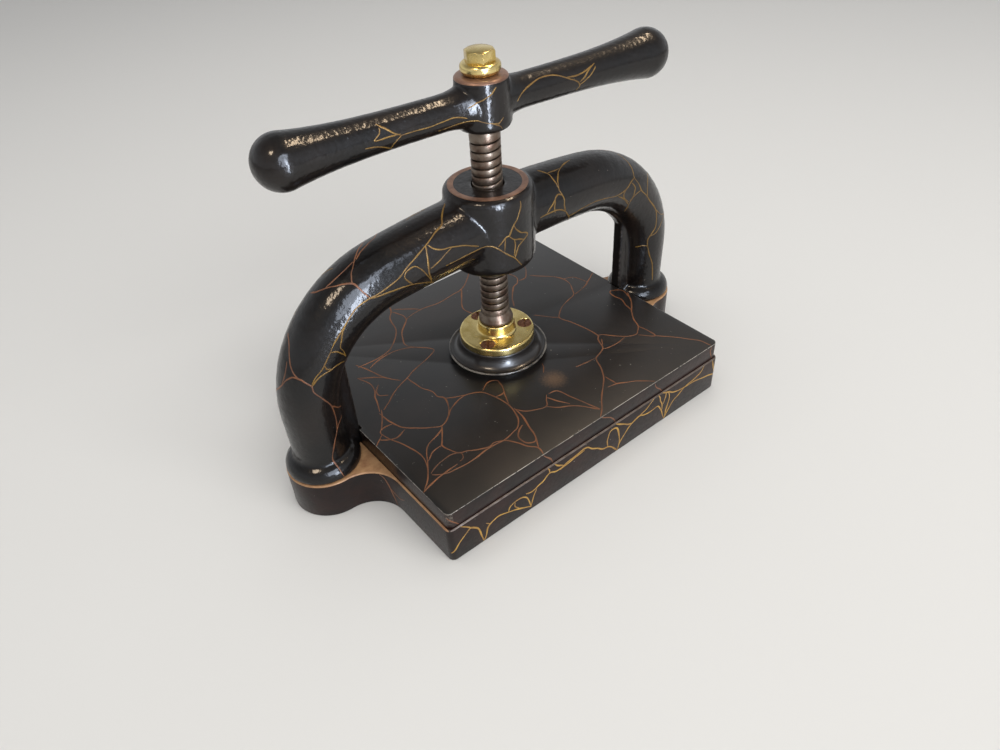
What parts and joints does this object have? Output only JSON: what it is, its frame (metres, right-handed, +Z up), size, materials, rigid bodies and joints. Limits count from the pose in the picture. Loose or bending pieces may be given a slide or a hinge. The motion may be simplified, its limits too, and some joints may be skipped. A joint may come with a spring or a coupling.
{
  "type": "screw copying press",
  "caption": "Small iron copying press: flat bed, arch with a screw and cross handle, and a guided platen that presses down on the bed.",
  "frame": {"origin": "middle of the bed's underside, on the screw's axis", "axes": "+X along the bed's long side and the arch, +Y to the back, +Z up along the screw"},
  "size_m": [0.421, 0.254, 0.3099],
  "materials": {
    "japanned_iron": "glossy black japan with thin gold veins",
    "bed_iron": "glossy brown-black japan with gold veins on the sides and bronze edges",
    "platen_iron": "satin black japan with copper-brown veins",
    "black_iron": "plain glossy black japan with a bright worn rim",
    "steel": "plain machined steel",
    "screw_steel": "bright turned steel, brown in the thread",
    "rusty_steel": "rusted screw heads",
    "brass": "polished",
    "gunmetal": "turned"
  },
  "bodies": {
    "frame": {"base": "bed_iron", "arch": "japanned_iron", "arch_bolt_left": "steel", "arch_bolt_right": "steel", "arch_washer_left": "steel", "arch_washer_right": "steel", "screw_nut": "gunmetal"},
    "platen": {"platen": "platen_iron", "socket": "black_iron", "swivel_flange": "brass", "flange_screw_1": "rusty_steel", "flange_screw_2": "rusty_steel", "flange_screw_3": "rusty_steel", "thrust_pad": "steel"},
    "spindle": {"screw": "screw_steel", "thrust_button": "steel", "button_pin": "steel", "handle": "japanned_iron", "handle_washer": "brass", "handle_bolt": "brass"}
  },
  "joints": [
    {"name": "platen_lift", "type": "slide", "parent": "frame", "child": "platen", "axis": [0, 0, 1], "range_m": [0, 0.0381]},
    {"name": "screw_turn", "type": "hinge", "parent": "platen", "child": "spindle", "pos_m": [0, 0, 0.1], "axis": [0, 0, 1], "range_deg": [0, 2160]}
  ],
  "couplings": [
    {"joint": "platen_lift", "follows": "screw_turn", "m_per_rad": 0.0010106}
  ]
}
